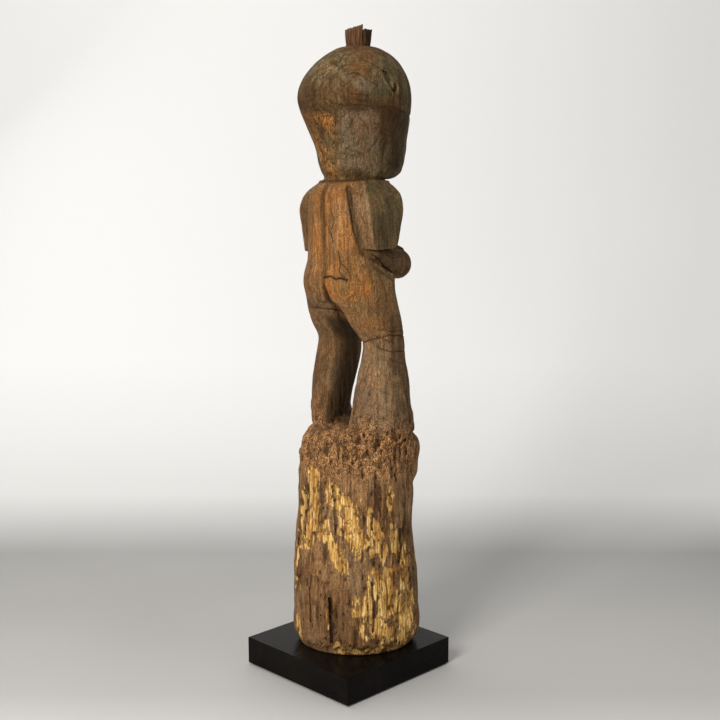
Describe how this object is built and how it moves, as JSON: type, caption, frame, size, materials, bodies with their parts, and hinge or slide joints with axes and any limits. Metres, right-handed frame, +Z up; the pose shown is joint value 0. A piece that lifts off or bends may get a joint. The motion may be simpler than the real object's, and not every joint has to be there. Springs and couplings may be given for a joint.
{
  "type": "carved post figure",
  "caption": "Standing figure carved from one weathered timber post, hands on belly, with a split plug in its crown, screwed to a square black plinth on felt pads.",
  "frame": {"origin": "on the floor under the centre of the square plinth", "axes": "+Z up; the figure faces -Y, so its own right hand is on the -X side"},
  "size_m": [0.203, 0.203, 0.888],
  "materials": {
    "weathered_wood": "dry, weathered, insect-eroded at the post",
    "plug_wood_light": "dry, split along the grain",
    "plug_wood_dark": "dry, split along the grain",
    "black_lacquer": "satin black lacquer",
    "zinc_steel": "bright zinc plate",
    "felt": "black self-adhesive felt"
  },
  "bodies": {
    "root": {"carved_figure": "weathered_wood", "crown_plug_tall_half": "plug_wood_light", "crown_plug_short_half": "plug_wood_dark", "plinth": "black_lacquer", "lag_screws": "zinc_steel", "washers": "zinc_steel", "felt_pad_front_left": "felt", "felt_pad_front_right": "felt", "felt_pad_back_left": "felt", "felt_pad_back_right": "felt"}
  },
  "joints": []
}
